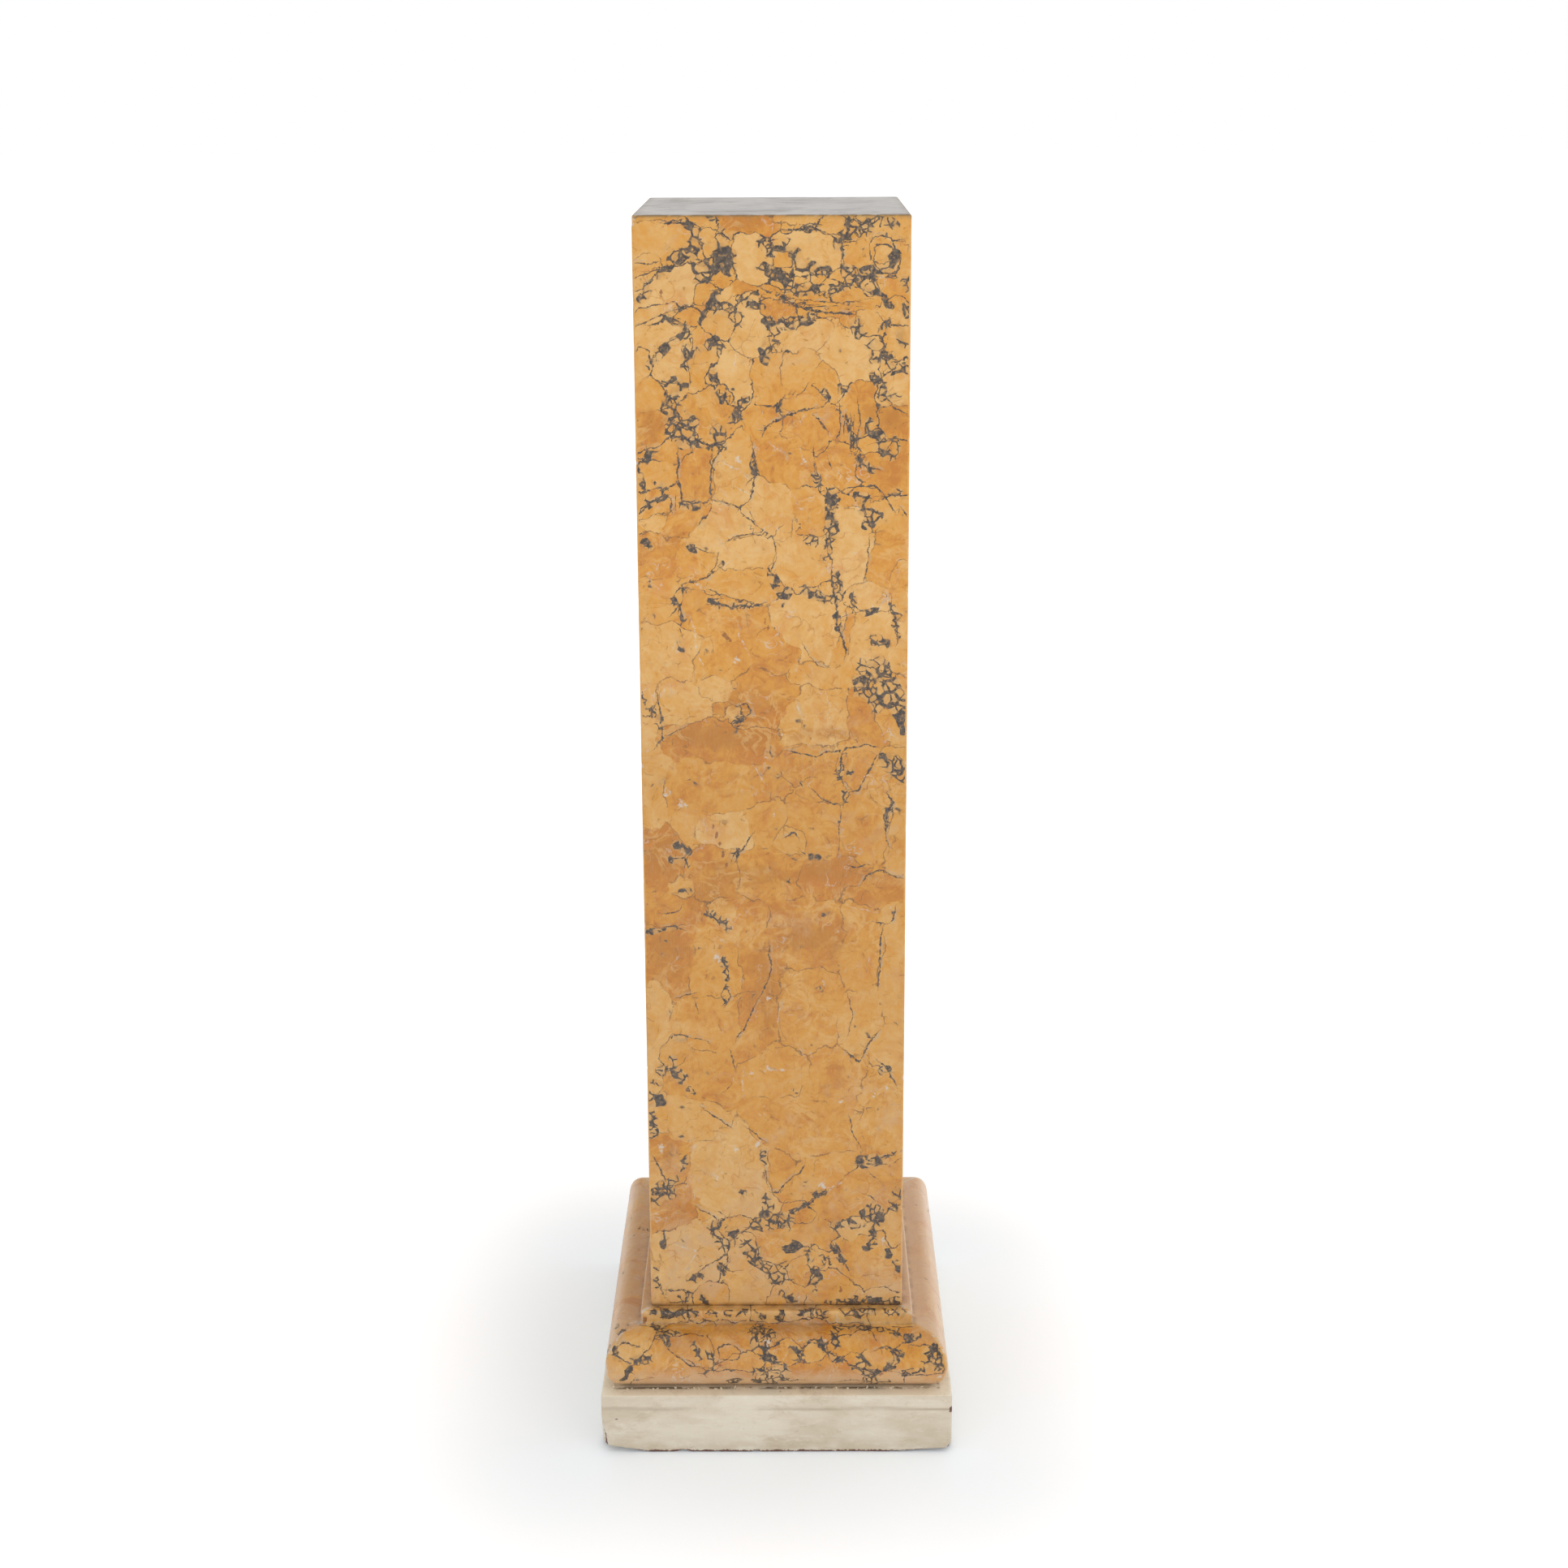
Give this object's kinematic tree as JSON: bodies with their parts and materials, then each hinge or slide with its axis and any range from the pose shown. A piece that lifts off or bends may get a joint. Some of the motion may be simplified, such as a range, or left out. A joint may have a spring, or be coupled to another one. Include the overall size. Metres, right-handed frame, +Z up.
{
  "type": "scagliola column",
  "caption": "Square scagliola pedestal column: straight marbled shaft on a fillet and torus base moulding and a low painted plinth, for carrying a bust or an urn.",
  "frame": {"origin": "centre of the plinth's underside, on the floor", "axes": "+Z up the column, +X to the right along the front, front faces -Y"},
  "size_m": [0.346, 0.346, 1.21],
  "materials": {
    "scagliola": "semi-gloss polished scagliola, honey and ochre clasts in a dark grey broken matrix",
    "cream_paint": "worn satin cream paint on a wooden block"
  },
  "bodies": {
    "root": {"shaft": "scagliola", "base_moulding": "scagliola", "plinth": "cream_paint"}
  },
  "joints": []
}
